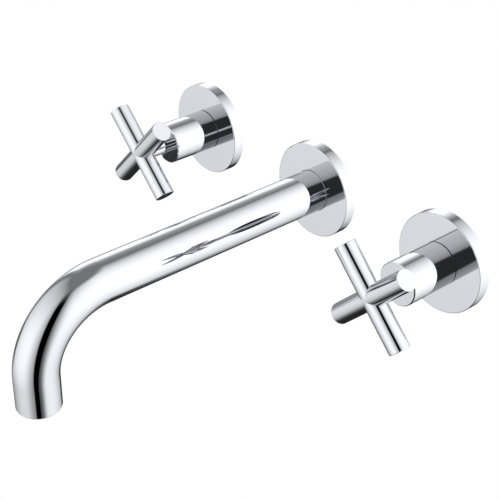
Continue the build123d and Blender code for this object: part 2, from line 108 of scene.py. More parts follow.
class Tree:
    def __init__(self, owner):
        self.nodes = owner.nodes
        self.links = owner.links
        self.nodes.clear()

    # One maker for any node: its type, its settings, then a value or link for each socket, or a list of
    # links. A socket goes by its name, or by its number as i0, i1 and so on.
    def node(self, kind, settings=None, **sockets):
        node = self.nodes.new(kind)
        for name, value in (settings or {}).items():
            setattr(node, name, value)
        for name, value in sockets.items():
            numbered = name[0] == "i" and name[1:].isdigit()
            socket = node.inputs[int(name[1:]) if numbered else name.replace("_", " ")]
            for source in value if isinstance(value, list) else [value]:
                if isinstance(source, Sum):
                    self.links.new(source.socket, socket)
                elif isinstance(source, bpy.types.NodeSocket):
                    self.links.new(source, socket)
                else:
                    socket.default_value = source
        return node

    def value(self, node, output=0):
        return Sum(self, node.outputs[output])

    # The object's own coordinates, pressed together or drawn out along its axes
    def place(self, stretch=(1.0, 1.0, 1.0)):
        own = self.node("ShaderNodeTexCoord").outputs["Object"]
        return self.node("ShaderNodeMapping", Vector=own, Scale=stretch).outputs[0]

    def split(self, vector):
        axes = self.node("ShaderNodeSeparateXYZ", i0=vector)
        return [self.value(axes, number) for number in range(3)]

    def noise(self, place, scale, detail=2.0, **sockets):
        made = self.node("ShaderNodeTexNoise", Vector=place, Scale=scale, Detail=detail, **sockets)
        return self.value(made)

    # Distance to the middle of the nearest cell of a random mesh of cells
    def cells(self, place, scale):
        return self.value(self.node("ShaderNodeTexVoronoi", Vector=place, Scale=scale))

    def bump(self, height, depth):
        return self.node("ShaderNodeBump", Height=height, Distance=depth).outputs[0]

    # The shader and the output in which every finish ends
    def finish(self, **sockets):
        shader = self.node("ShaderNodeBsdfPrincipled", **sockets)
        self.node("ShaderNodeOutputMaterial", Surface=shader.outputs[0])

    # Colours mixed by a factor
    def mix(self, factor, first, second):
        made = self.node("ShaderNodeMix", {"data_type": "RGBA"}, i0=factor, i6=first, i7=second)
        return made.outputs[2]

    # 1 inside, 0 outside, with a soft edge from near to far
    def fade(self, value, near, far):
        made = self.node("ShaderNodeMapRange", {"interpolation_type": "SMOOTHSTEP"}, Value=value,
                         From_Min=near, From_Max=far, To_Min=1.0, To_Max=0.0)
        return self.value(made)


# Studio: the world holds soft panels and a black card, which only polished metal sees, round a plain
# even light. Directions are in degrees: azimuth 0 looks from the wall into the room, and 90 along X.
# A panel lies between two azimuths and two elevations, with a soft border of its own width at its left,
# right, bottom and top. One that leans moves aside with its height. Its level falls by drop where the
# distance from its glow is its spread.
studio = {
    "evenLight": 0.95,
    "mirrored": (0.03, 0.68),
    "roomGrey": 0.2,
    "floorGrey": 0.02,
    "floorFade": (-60, -38),
    "panels": [
        # in the room, over the camera's left shoulder
        {"azimuth": (-90, 30), "elevation": (-59, 74), "soft": (6, 34, 26, 8),
         "level": 1.15, "glow": (-12, 3), "spread": (80, 60), "drop": 0.6},
        # to the right and behind the wall
        {"azimuth": (50, 202), "elevation": (-60, 69), "soft": (8, 5, 4, 8),
         "level": 1.3, "glow": (125, 8), "spread": (62, 60), "drop": 0.45},
        # to the left, with its haze above
        {"azimuth": (-150, -98), "elevation": (20, 48), "soft": (3, 4, 6, 10), "level": 0.34},
        {"azimuth": (-147, -102), "elevation": (-6, 30), "soft": (4, 3, 14, 12),
         "level": 1.3, "glow": (-125, 14), "spread": (30, 60), "drop": 0.2},
        # what the grazing edges see, and a dark strip low on the left
        {"azimuth": (-147, -114), "elevation": (-50, -22), "soft": (6, 6, 6, 6), "level": 0.03},
        {"azimuth": (-97, -74), "elevation": (-30, -12), "soft": (4, 4, 5, 5), "level": 0.12},
        # dark corner behind and below
        {"azimuth": (-159, -133), "elevation": (-64, -34), "soft": (4, 6, 5, 5), "level": 0.03},
        # black card and its shade on the right
        {"azimuth": (45, 76), "elevation": (-100, 64), "soft": (5, 16, 5, 20), "level": 0.1, "lean": -0.3},
        {"azimuth": (39, 63), "elevation": (-100, 60), "soft": (3, 3, 5, 14), "level": 0, "lean": -0.12},
    ],
}


def makeWorld(card):
    world = bpy.data.worlds.new("studio")
    world.use_nodes = True
    world.cycles.sampling_method = "NONE"
    tree = Tree(world.node_tree)
    scene.world = world
    place = tree.node("ShaderNodeTexCoord")
    axes = tree.node("ShaderNodeSeparateXYZ", i0=place.outputs["Generated"])
    x, y, z = (tree.value(axes, n) for n in range(3))
    toDegrees = 180 / pi
    elevation = z.function("ARCSINE") * toDegrees
    aboveFloor = 1 - tree.fade(elevation, *card["floorFade"])
    seen = card["floorGrey"] + (card["roomGrey"] - card["floorGrey"]) * aboveFloor
    for panel in card["panels"]:
        left, right = panel["azimuth"]
        bottom, top = panel["elevation"]
        middle = radians(left + right) / 2
        half = (right - left) / 2
        ahead = x * sin(middle) - y * cos(middle)
        aside = x * cos(middle) + y * sin(middle)
        around = ahead.join("ARCTAN2", aside, ahead) * toDegrees
        across = around - elevation * panel.get("lean", 0)
        borders = ((-1 * across, half), (across, half), (-1 * elevation, -bottom), (elevation, top))
        mask = 1.0
        for (offset, border), soft in zip(borders, panel["soft"]):
            mask = tree.fade(offset, border - soft, border + soft) * mask
        level = panel["level"]
        if "drop" in panel:
            fromGlow = (around + (degrees(middle) - panel["glow"][0])) / panel["spread"][0]
            overGlow = (elevation - panel["glow"][1]) / panel["spread"][1]
            level = level - (fromGlow * fromGlow + overGlow * overGlow) * panel["drop"]
            level = level.join("MAXIMUM", level, card["roomGrey"])
        seen = seen + (level - seen) * mask

    # In a reflection of a reflection the contrast is lower
    ray = tree.node("ShaderNodeLightPath")
    again = (tree.value(ray, "Glossy Depth") - 1).within(0, 1)
    lift, share = card["mirrored"]
    seen = seen + again * (lift - seen * (1 - share))
    polished = tree.value(ray, "Is Glossy Ray")
    camera = tree.value(ray, "Is Camera Ray")
    even = card["evenLight"] + camera * (1.0 - card["evenLight"])
    strength = even + (seen - even) * polished
    background = tree.node("ShaderNodeBackground", Color=(1, 1, 1, 1), Strength=strength)
    tree.node("ShaderNodeOutputWorld", Surface=background.outputs[0])


makeWorld(studio)
print("studio ready")


def newMaterial(name):
    material = bpy.data.materials.new(name)
    material.use_nodes = True
    return material, Tree(material.node_tree)


# Chrome. Buffing leaves faint clouds in the polish, and faces turned square to the wall carry a painted
# shade that makes them a little greyer.
chromeLook = {
    "colour": (0.83, 0.84, 0.88, 1.0),
    # painted shade: the greyer colour given to faces square to the wall
    "paintedShadeFaceColour": (0.77, 0.78, 0.82, 1.0),
    "paintedShadeSquareness": (0.97, 0.995),
    "roughness": (0.012, 0.03),
    "cloudScale": 45.0,
    "buffScale": 900.0,
    "buffDepth": 0.00000006,
}


def between(mask, low, high):
    return low + mask * (high - low)


def makeChrome(card):
    material, tree = newMaterial("polishedChrome")
    place = tree.place()
    acrossWall = tree.split(tree.node("ShaderNodeTexCoord").outputs["Normal"])[1]
    # Painted shade: 1 on faces square to the wall, which take the greyer colour
    face = 1 - tree.fade(abs(acrossWall), *card["paintedShadeSquareness"])
    clouds = tree.noise(place, card["cloudScale"], detail=3.0)
    buffed = tree.noise(place, card["buffScale"])
    tree.finish(Base_Color=tree.mix(face, card["colour"], card["paintedShadeFaceColour"]), Metallic=1.0,
                Roughness=between(clouds, *card["roughness"]), Normal=tree.bump(buffed, card["buffDepth"]))
    return material


# Brass. The bodies keep the skin of the press, the rest shows the fine marks of the lathe.
brassLook = {
    "colour": (0.76, 0.53, 0.22, 1.0),
    "tarnish": (0.44, 0.27, 0.11, 1.0),
    "tarnishScale": 90.0,
    "tarnishEdge": (0.35, 0.7),
    "skinRoughness": (0.34, 0.55),
    "skinScale": 1500.0,
    "skinDepth": 0.00008,
    "toolRoughness": (0.16, 0.32),
    "toolPitch": 0.0005,
    "toolDepth": 0.000004,
}


# The axes of the spout and the two handles are evenly spaced, and marks go round the nearest one
def offAxis(tree, place):
    x, z = tree.split(place)[0::2]
    half = bodySpacing / 2
    aside = x.join("FLOORED_MODULO", x + half, bodySpacing) - half
    return (aside * aside + z * z).function("SQRT")


def makePressedBrass(card):
    material, tree = newMaterial("pressedBrass")
    place = tree.place()
    stain = tree.noise(place, card["tarnishScale"], detail=5.0, Roughness=0.65)
    skin = tree.noise(place, card["skinScale"], detail=3.0)
    stained = 1 - tree.fade(stain, *card["tarnishEdge"])
    tree.finish(Base_Color=tree.mix(stained, card["colour"], card["tarnish"]), Metallic=1.0,
                Roughness=between(skin, *card["skinRoughness"]), Normal=tree.bump(skin, card["skinDepth"]))
    return material


def makeTurnedBrass(card):
    material, tree = newMaterial("turnedBrass")
    place = tree.place()
    stain = tree.noise(place, card["tarnishScale"], detail=4.0)
    travel = offAxis(tree, place) + tree.split(place)[1]
    marks = (travel * (2 * pi / card["toolPitch"])).function("SINE")
    tree.finish(Base_Color=tree.mix(stain * stain, card["colour"], card["tarnish"]), Metallic=1.0,
                Roughness=between(stain, *card["toolRoughness"]), Normal=tree.bump(marks, card["toolDepth"]))
    return material


# Copper: drawn tubes, with heat tints and a bright fillet of solder where they enter the bodies
copperLook = {
    "colour": (0.80, 0.43, 0.29, 1.0),
    "oxide": (0.42, 0.19, 0.12, 1.0),
    "solder": (0.66, 0.66, 0.64, 1.0),
    "drawn": (40.0, 700.0, 700.0),
    "cloudScale": 90.0,
    "heatReach": 0.014,
    "heatShare": 0.8,
    "filletReach": 0.0016,
    "filletEdge": 1.6,
    "roughness": (0.18, 0.42),
    "drawDepth": 0.000006,
}


def makeCopper(card):
    material, tree = newMaterial("drawnCopper")
    place = tree.place()
    streaks = tree.noise(tree.place(card["drawn"]), 1.0, detail=3.0)
    clouds = tree.noise(place, card["cloudScale"], detail=4.0)
    along = abs(tree.split(place)[0])
    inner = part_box("spout_tee")[1].x
    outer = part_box("right_valve_body")[0].x
    fromJoint = (along - inner).join("MINIMUM", along - inner, outer - along)
    heatReach = card["heatReach"]
    reach = card["filletReach"]
    heat = tree.fade(fromJoint + clouds * (heatReach / 2), reach, heatReach)
    fillet = tree.fade(fromJoint + clouds * reach, reach, reach * card["filletEdge"])
    drawn = tree.mix(streaks * clouds, card["colour"], card["oxide"])
    heated = tree.mix(heat * card["heatShare"], drawn, card["oxide"])
    tree.finish(Base_Color=tree.mix(fillet, heated, card["solder"]), Metallic=1.0,
                Roughness=between(streaks, *card["roughness"]), Normal=tree.bump(streaks, card["drawDepth"]))
    return material


# Zinc plate on steel: cool grey with a faint warm bloom, over rolling marks along the bar
zincLook = {
    "colour": (0.60, 0.63, 0.67, 1.0),
    "bloom": (0.63, 0.62, 0.585, 1.0),
    "rolled": (60.0, 500.0, 1600.0),
    "bloomScale": 28.0,
    "bloomEdge": (0.3, 0.7),
    "roughness": (0.24, 0.46),
    "rollDepth": 0.00001,
}


def makeZinc(card):
    material, tree = newMaterial("zincPlate")
    rolling = tree.noise(tree.place(card["rolled"]), 1.0, detail=3.0)
    bloom = tree.noise(tree.place(), card["bloomScale"], detail=4.0)
    plain = tree.fade(bloom, *card["bloomEdge"])
    tree.finish(Base_Color=tree.mix(plain, card["colour"], card["bloom"]), Metallic=1.0,
                Roughness=between(rolling, *card["roughness"]), Normal=tree.bump(rolling, card["rollDepth"]))
    return material


# Seals and washers: each has a ground colour, a second one in its grain, and the grain's size and depth
sealLooks = {
    "rubber": {"colour": (0.018, 0.018, 0.019, 1.0), "grain": (0.045, 0.045, 0.047, 1.0), "scale": 2600.0,
               "stretch": (1.0, 1.0, 1.0), "depth": 0.000015, "roughness": (0.42, 0.62)},
    "foam": {"colour": (0.035, 0.035, 0.037, 1.0), "grain": (0.16, 0.16, 0.165, 1.0), "scale": 1500.0,
             "stretch": (1.0, 1.0, 1.0), "depth": 0.00025, "roughness": (0.85, 0.97)},
    "fibre": {"colour": (0.38, 0.075, 0.055, 1.0), "grain": (0.22, 0.04, 0.03, 1.0), "scale": 900.0,
              "stretch": (1.0, 3.0, 0.35), "depth": 0.00003, "roughness": (0.55, 0.78)},
    "ceramic": {"colour": (0.90, 0.895, 0.87, 1.0), "grain": (0.78, 0.775, 0.75, 1.0), "scale": 3200.0,
                "stretch": (1.0, 1.0, 1.0), "depth": 0.000002, "roughness": (0.10, 0.22)},
    "aerator_plastic": {"colour": (0.80, 0.82, 0.82, 1.0), "grain": (0.72, 0.745, 0.75, 1.0), "scale": 700.0,
                        "stretch": (1.0, 1.0, 0.4), "depth": 0.000008, "roughness": (0.30, 0.46)},
}


# Foam and ceramic are made of cells, the others of fibres and clouds. A cloud is many grains wide.
grainsPerCloud = 12
grainStrength = 1.6


def makeSeal(name, card):
    material, tree = newMaterial(name + "Seal")
    place = tree.place(card["stretch"])
    scale = card["scale"]
    grain = tree.cells(place, scale) if name in ("foam", "ceramic") else tree.noise(place, scale, detail=4.0)
    clouds = tree.noise(place, scale / grainsPerCloud, detail=3.0)
    tree.finish(Base_Color=tree.mix(grain * clouds * grainStrength, card["colour"], card["grain"]),
                Roughness=between(clouds, *card["roughness"]), Normal=tree.bump(grain, card["depth"]))
    return material


# Every CAD node gets the finish that its slot names, and the pressed bodies get theirs
chrome = makeChrome(chromeLook)
finishes = {
    "chrome": chrome,
    "brass": makeTurnedBrass(brassLook),
    "copper": makeCopper(copperLook),
    "zinc_steel": makeZinc(zincLook),
}
for seal, look in sealLooks.items():
    finishes[seal] = makeSeal(seal, look)
pressedBrass = makePressedBrass(brassLook)
pressedBodies = ("left_valve_body", "right_valve_body", "spout_tee")
for name, node in nodes.items():
    for slot in node.material_slots:
        finish = finishes[slot.material.name.split(".")[0]]
        slot.material = pressedBrass if name in pressedBodies else finish
print("finishes ready")


# Turned pieces. An outline has (along, radius, rounding) for each corner, once round the metal.
def roundCorner(before, here, after, rounding, steps):
    back = (before - here).normalized()
    ahead = (after - here).normalized()
    half = back.angle(ahead) / 2
    middle = here + (back + ahead).normalized() * (rounding / sin(half))
    inset = rounding * cos(half) / sin(half)
    start = here + back * inset - middle
    turn = start.angle_signed(here + ahead * inset - middle)
    return [middle + Matrix.Rotation(-turn * step / steps, 2) @ start for step in range(steps + 1)]


def turnedMesh(name, corners, centre, axis, sides, steps=6):
    outline = []
    for number, (along, radius, rounding) in enumerate(corners):
        here = Vector((along, radius))
        before, after = (Vector(corners[(number + way) % len(corners)][:2]) for way in (-1, 1))
        outline += roundCorner(before, here, after, rounding, steps) if rounding else [here]
    place = Matrix.Translation(centre) @ Vector(axis).to_track_quat("Z", "Y").to_matrix().to_4x4()
    shape = bmesh.new()
    rings = []
    for along, radius in outline:
        angles = [2 * pi * side / sides for side in range(sides if radius > 0 else 1)]
        points = [Vector((radius * cos(angle), radius * sin(angle), along)) for angle in angles]
        rings.append([shape.verts.new(place @ point) for point in points])
    for ring, following in zip(rings, rings[1:] + rings[:1]):
        for side in range(sides):
            corners = [(ring, side), (ring, side + 1), (following, side + 1), (following, side)]
            face = list(dict.fromkeys(row[count % len(row)] for row, count in corners))
            if len(face) > 2:
                shape.faces.new(face)
    bmesh.ops.recalc_face_normals(shape, faces=shape.faces)
    mesh = bpy.data.meshes.new(name)
    shape.to_mesh(mesh)
    shape.free()
    return mesh


# True surfaces: each gives how far a point lies off it and its normal there. The way is -1 in a bore.
def roundSurface(centre, axis, radius, way=1):
    def measure(point):
        off = point - Vector(centre)
        off -= off.project(Vector(axis))
        return off.length - radius, off.normalized() * way

    return measure


def ringSurface(centre, axis, ringRadius, radius, way=1):
    def measure(point):
        off = point - Vector(centre)
        outward = off - off.project(Vector(axis))
        off -= outward.normalized() * ringRadius
        return off.length - radius, off.normalized() * way

    return measure


# A face takes the normals of the true surface that it lies on, and is flat where there is none.
# Reflections then run over the metal without a break.
def setTrueNormals(mesh, surfaces, nearness=0.00002, likeness=0.9):
    normals = []
    for face in mesh.polygons:
        points = [mesh.vertices[number].co for number in face.vertices]
        found = [face.normal] * len(points)
        for surface in surfaces:
            measured = [surface(point) for point in points]
            turned = sum((normal for off, normal in measured), Vector()).normalized()
            farthest = max(abs(off) for off, normal in measured)
            if farthest < nearness and turned.dot(face.normal) > likeness:
                found = [normal for off, normal in measured]
                break
        normals += found
    mesh.shade_smooth()
    mesh.normals_split_custom_set(normals)


def plainMesh(piece):
    bpy.context.view_layer.update()
    evaluated = piece.evaluated_get(bpy.context.evaluated_depsgraph_get())
    return bpy.data.meshes.new_from_object(evaluated)


def placePiece(name, mesh):
    piece = bpy.data.objects.new(name, mesh)
    scene.collection.objects.link(piece)
    return piece


# Several closed meshes become one solid without inner walls
def joinSolids(name, meshes):
    solids = [placePiece(mesh.name, mesh) for mesh in meshes]
    for solid in solids[1:]:
        union = solids[0].modifiers.new(solid.name, "BOOLEAN")
        union.operation = "UNION"
        union.solver = "EXACT"
        union.object = solid
    joined = plainMesh(solids[0])
    joined.name = name
    for solid in solids:
        bpy.data.objects.remove(solid)
    return joined


# A geometry tree with named inputs grows a piece, which is kept as a plain mesh
def growMesh(name, sizes, build, material):
    group = bpy.data.node_groups.new(name, "GeometryNodeTree")
    group.interface.new_socket("Geometry", in_out="OUTPUT", socket_type="NodeSocketGeometry")
    kinds = {int: "NodeSocketInt", float: "NodeSocketFloat"}
    inputs = {}
    for key, value in dict(sizes, material=material).items():
        kind = kinds.get(type(value), "NodeSocketMaterial")
        inputs[key] = group.interface.new_socket(key, in_out="INPUT", socket_type=kind)
    tree = Tree(group)
    entry = tree.node("NodeGroupInput")
    grown = build(tree, {key: tree.value(entry, key) for key in sizes})
    whole = tree.node("GeometryNodeRealizeInstances", Geometry=grown).outputs[0]
    coated = tree.node("GeometryNodeSetMaterial", Geometry=whole, Material=entry.outputs["material"])
    tree.node("NodeGroupOutput", Geometry=coated.outputs[0])
    empty = bpy.data.meshes.new("empty")
    holder = placePiece("grower", empty)
    modifier = holder.modifiers.new(name, "NODES")
    modifier.node_group = group
    for key, value in dict(sizes, material=material).items():
        modifier[inputs[key].identifier] = value
    mesh = plainMesh(holder)
    bpy.data.objects.remove(holder)
    bpy.data.meshes.remove(empty)
    mesh.materials.clear()
    mesh.materials.append(material)
    mesh.name = name
    return mesh


# Spout tube: rings of points go out along the tube, round the outlet's edge and back through the bore
spoutLook = {
    "bendRadius": 0.0425,
    "edge": 0.0005,
    "sides": 120,
    "bendRings": 60,
    "straightRings": 4,
    "edgeRings": 6,
    "holeSides": 64,
    "weld": 0.000001,
}
screwHoleGap = 0.00005


def spoutTree(tree, size):
    columns = size["sides"] + 1
    edgeRings = size["edgeRings"]
    wayOut = size["bendRings"] + 2 * size["straightRings"]
    wayBack = wayOut + 2 * edgeRings + 1
    grid = tree.node("GeometryNodeMeshGrid", Vertices_X=wayBack + wayOut + 2, Vertices_Y=columns)
    index = tree.value(tree.node("GeometryNodeInputIndex"))
    ring = (index / columns).function("FLOOR")
    angle = (index - ring * columns) * (2 * pi) / size["sides"]

    # How far each ring has come: along the tube, over the outer edge, the end face and the inner edge
    along = ring.within(0, wayOut) - (ring - wayBack).within(0, wayOut)
    straight = (along / size["straightRings"]).within(0, 1)
    bend = ((along - size["straightRings"]) / size["bendRings"]).within(0, 1)
    fall = ((along - size["straightRings"] - size["bendRings"]) / size["straightRings"]).within(0, 1)
    outerEdge = ((ring - wayOut) / edgeRings).within(0, 1) * (pi / 2)
    endFace = (ring - wayOut - edgeRings).within(0, 1)
    innerEdge = ((ring - wayOut - edgeRings - 1) / edgeRings).within(0, 1) * (pi / 2)
    rearFace = (ring - wayBack - wayOut).within(0, 1)

    edge = size["edge"]
    bendRadius = size["bendRadius"]
    radius = size["radius"] - edge * (1 - outerEdge.function("COSINE")) - (size["wall"] - 2 * edge) * endFace
    radius = radius - edge * innerEdge.function("SINE") + size["wall"] * rearFace
    drop = (size["drop"] - bendRadius - edge) * fall + edge * outerEdge.function("SINE")
    drop = drop - edge * (1 - innerEdge.function("COSINE"))
    turn = bend * (pi / 2)
    lift = bendRadius + radius * angle.function("SINE")
    x = radius * angle.function("COSINE")
    y = size["rear"] - straight * (size["rear"] + size["reach"] - bendRadius) - lift * turn.function("SINE")
    z = lift * turn.function("COSINE") - bendRadius - drop
    place = tree.node("ShaderNodeCombineXYZ", X=x, Y=y, Z=z)
    tube = tree.node("GeometryNodeSetPosition", Geometry=grid.outputs[0], Position=place.outputs[0])
    closed = tree.node("GeometryNodeMergeByDistance", Geometry=tube.outputs[0], Distance=size["weld"])

    # Hole for the set screw, through the lower wall
    drill = tree.node("GeometryNodeMeshCylinder", Vertices=size["holeSides"], Radius=size["holeRadius"],
                      Depth=size["radius"])
    below = tree.node("ShaderNodeCombineXYZ", Y=size["holeDepth"], Z=size["radius"] * -1)
    placed = tree.node("GeometryNodeTransform", Geometry=drill.outputs[0], Translation=below.outputs[0])
    drilled = tree.node("GeometryNodeMeshBoolean", {"operation": "DIFFERENCE", "solver": "EXACT"},
                        i0=closed.outputs[0], i1=placed.outputs[0])
    return drilled.outputs[0]


def makeSpout(card, material):
    low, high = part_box("spout_tube")
    radius = high.x
    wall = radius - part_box("spout_bush")[1].x
    reach = -low.y - radius
    screwLow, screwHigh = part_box("spout_set_screw")
    sizes = dict(card, radius=radius, wall=wall, reach=reach, drop=-low.z, rear=high.y,
                 holeRadius=screwHigh.x + screwHoleGap, holeDepth=(screwLow.y + screwHigh.y) / 2)
    mesh = growMesh("spoutTube", sizes, spoutTree, material)
    bendRadius = card["bendRadius"]
    edge = card["edge"]
    surfaces = [roundSurface((0, sizes["holeDepth"], 0), (0, 0, 1), sizes["holeRadius"], -1)]
    for skin, way in ((radius, 1), (radius - wall, -1)):
        surfaces.append(roundSurface((0, 0, 0), (0, 1, 0), skin, way))
        surfaces.append(ringSurface((0, bendRadius - reach, -bendRadius), (1, 0, 0), bendRadius, skin, way))
        surfaces.append(roundSurface((0, -reach, 0), (0, 0, 1), skin, way))
        surfaces.append(ringSurface((0, -reach, low.z + edge), (0, 0, 1), skin - edge * way, edge))
    setTrueNormals(mesh, surfaces)
    piece = placePiece("spoutTube", mesh)
    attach(piece, "root")
    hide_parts("spout_tube")


makeSpout(spoutLook, chrome)
print("spout tube ready")

# Flanges: shallow turned cups, each with a hole for the spout's tube or for a handle's sleeve
flangeLook = {"shell": 0.002, "edge": 0.0005, "sides": 240, "tubeGap": 0.00015, "sleeveGap": 0.00005}


def makeFlange(node, hole, card, material):
    low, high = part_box(node)
    radius = (high.x - low.x) / 2
    centre = Vector(((high.x + low.x) / 2, 0, 0))
    shell = card["shell"]
    edge = card["edge"]
    corners = [(0, radius, 0), (low.y, radius, edge), (low.y, hole, edge / 2), (low.y + shell, hole, 0),
               (low.y + shell, radius - shell, 0), (0, radius - shell, 0)]
    mesh = turnedMesh(node + "Turned", corners, centre, (0, 1, 0), card["sides"])
    surfaces = [roundSurface(centre, (0, 1, 0), radius), roundSurface(centre, (0, 1, 0), radius - shell, -1),
                roundSurface(centre, (0, 1, 0), hole, -1),
                ringSurface(centre + Vector((0, low.y + edge, 0)), (0, 1, 0), radius - edge, edge),
                ringSurface(centre + Vector((0, low.y + edge / 2, 0)), (0, 1, 0), hole + edge / 2, edge / 2)]
    mesh.materials.append(material)
    setTrueNormals(mesh, surfaces)
    piece = placePiece(node + "Turned", mesh)
    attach(piece, "root")
    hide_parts(node)


makeFlange("spout_flange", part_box("spout_tube")[1].x + flangeLook["tubeGap"], flangeLook, chrome)
for side in ("left", "right"):
    sleeveLow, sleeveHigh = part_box(side + "_sleeve")
    sleeveRadius = (sleeveHigh.x - sleeveLow.x) / 2
    makeFlange(side + "_flange", sleeveRadius + flangeLook["sleeveGap"], flangeLook, chrome)
print("flanges ready")


# A piece without true surfaces is smooth except at its own edges
def placeSmooth(mesh, body, sharpFrom=30):
    mesh.shade_smooth()
    mesh.set_sharp_from_angle(angle=radians(sharpFrom))
    piece = placePiece(mesh.name, mesh)
    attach(piece, body)
    return piece


# Foam rings behind the flanges, with their cut edges a little rounded
gasketLook = {"width": 0.004, "rounding": 0.0005, "roundingSteps": 4, "sides": 160}


# Turns a shape, so that its axis runs into the wall, and moves it to a depth and a height
def againstWall(tree, shape, depth, height=0.0):
    place = tree.node("ShaderNodeCombineXYZ", Y=depth, Z=height).outputs[0]
    turned = tree.node("GeometryNodeTransform", Geometry=shape, Translation=place, Rotation=(pi / 2, 0, 0))
    return turned.outputs[0]


def gasketTree(tree, size):
    middle = size["outerRadius"] - size["width"] / 2
    ring = tree.node("GeometryNodeCurvePrimitiveCircle", Resolution=size["sides"], Radius=middle)
    level = tree.node("GeometryNodeSetCurveNormal", {"mode": "Z_UP"}, Curve=ring.outputs[0])
    section = tree.node("GeometryNodeCurvePrimitiveQuadrilateral", Width=size["width"],
                        Height=size["thickness"])
    rounded = tree.node("GeometryNodeFilletCurve", {"mode": "POLY"}, Curve=section.outputs[0],
                        Count=size["roundingSteps"], Radius=size["rounding"], Limit_Radius=True)
    foam = tree.node("GeometryNodeCurveToMesh", Curve=level.outputs[0], Profile_Curve=rounded.outputs[0])
    upright = againstWall(tree, foam.outputs[0], size["thickness"] * -0.5)
    start = tree.node("ShaderNodeCombineXYZ", X=size["spacing"] * -1).outputs[0]
    step = tree.node("ShaderNodeCombineXYZ", X=size["spacing"]).outputs[0]
    places = tree.node("GeometryNodeMeshLine", Count=3, Start_Location=start, Offset=step)
    rings = tree.node("GeometryNodeInstanceOnPoints", Points=places.outputs[0], Instance=upright)
    return rings.outputs[0]


gasketLow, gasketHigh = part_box("wall_gaskets")
gasketSizes = dict(gasketLook, outerRadius=gasketHigh.z, thickness=gasketHigh.y - gasketLow.y,
                   spacing=bodySpacing)
gaskets = placeSmooth(growMesh("wallGaskets", gasketSizes, gasketTree, finishes["foam"]), "root")
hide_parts("wall_gaskets")
print("gaskets ready")

# Countersunk screws in the mounting bar, two behind each valve body, with a cross recess in each head
screwLook = {
    "pair": 0.02,
    "radius": 0.00245,
    "recessLength": 0.0052,
    "recessWidth": 0.0011,
    "recessDepth": 0.0015,
    "sides": 48,
}


def screwTree(tree, size):
    countersink = size["headRadius"] - size["radius"]
    head = tree.node("GeometryNodeMeshCone", Vertices=size["sides"], Radius_Top=size["radius"],
                     Radius_Bottom=size["headRadius"], Depth=countersink)
    shankLength = size["length"] - countersink / 2
    shank = tree.node("GeometryNodeMeshCylinder", Vertices=size["sides"], Radius=size["radius"],
                      Depth=shankLength)
    lift = tree.node("ShaderNodeCombineXYZ", Z=size["length"] - shankLength / 2)
    raised = tree.node("GeometryNodeTransform", Geometry=shank.outputs[0], Translation=lift.outputs[0])
    screw = tree.node("GeometryNodeMeshBoolean", {"operation": "UNION", "solver": "EXACT"},
                      i1=[head.outputs[0], raised.outputs[0]])
    long, wide, deep = size["recessLength"], size["recessWidth"], size["recessDepth"] * 2
    slots = []
    for x, y in ((long, wide), (wide, long)):
        extent = tree.node("ShaderNodeCombineXYZ", X=x, Y=y, Z=deep)
        slots.append(tree.node("GeometryNodeMeshCube", Size=extent.outputs[0]).outputs[0])
    cross = tree.node("GeometryNodeMeshBoolean", {"operation": "UNION", "solver": "EXACT"}, i1=slots)
    cut = tree.node("GeometryNodeMeshBoolean", {"operation": "DIFFERENCE", "solver": "EXACT"},
                    i0=screw.outputs[0], i1=cross.outputs[0])
    upright = againstWall(tree, cut.outputs[0], size["depth"], size["height"])

    # Screws 0 and 1 go to the left body, 2 and 3 to the right one
    number = tree.value(tree.node("GeometryNodeInputIndex"))
    body = (number / 2).function("FLOOR")
    x = (body * 2 - 1) * size["spacing"] + (number - body * 2 - 0.5) * size["pair"]
    place = tree.node("ShaderNodeCombineXYZ", X=x)
    row = tree.node("GeometryNodeMeshLine", Count=4)
    places = tree.node("GeometryNodeSetPosition", Geometry=row.outputs[0], Position=place.outputs[0])
    screws = tree.node("GeometryNodeInstanceOnPoints", Points=places.outputs[0], Instance=upright)
    return screws.outputs[0]


screwLow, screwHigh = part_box("bar_screws")
screwSizes = dict(screwLook, headRadius=(screwHigh.z - screwLow.z) / 2, length=screwHigh.y - screwLow.y,
                  depth=screwHigh.y, height=(screwHigh.z + screwLow.z) / 2, spacing=bodySpacing)
zinc = finishes["zinc_steel"]
screws = placeSmooth(growMesh("barScrews", screwSizes, screwTree, zinc), "root")
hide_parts("bar_screws")
print("bar screws ready")

# Pipe thread in the two inlets: a ridge that winds up the socket
threadLook = {
    "pitch": 0.001814,
    "turns": 7.0,
    "coreRadius": 0.0093,
    "ridge": 0.0006,
    "ridgeSides": 4,
    "inletDepth": 0.048,
    "mouth": 0.0008,
    "turnSides": 72,
}


def threadTree(tree, size):
    winding = tree.node("GeometryNodeCurveSpiral", Resolution=size["turnSides"], Rotations=size["turns"],
                        Start_Radius=size["coreRadius"], End_Radius=size["coreRadius"],
                        Height=size["turns"] * size["pitch"])
    level = tree.node("GeometryNodeSetCurveNormal", {"mode": "Z_UP"}, Curve=winding.outputs[0])
    section = tree.node("GeometryNodeCurvePrimitiveCircle", Resolution=size["ridgeSides"],
                        Radius=size["ridge"])
    ridge = tree.node("GeometryNodeCurveToMesh", Curve=level.outputs[0], Profile_Curve=section.outputs[0],
                      Fill_Caps=True)
    start = tree.node("ShaderNodeCombineXYZ", X=size["spacing"] * -1, Y=size["inletDepth"],
                      Z=size["bottom"] + size["mouth"]).outputs[0]
    step = tree.node("ShaderNodeCombineXYZ", X=size["spacing"] * 2).outputs[0]
    places = tree.node("GeometryNodeMeshLine", Count=2, Start_Location=start, Offset=step)
    threads = tree.node("GeometryNodeInstanceOnPoints", Points=places.outputs[0], Instance=ridge.outputs[0])
    return threads.outputs[0]


threadSizes = dict(threadLook, bottom=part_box("left_valve_body")[0].z, spacing=bodySpacing)
placeSmooth(growMesh("inletThreads", threadSizes, threadTree, finishes["brass"]), "root")
print("inlet threads ready")

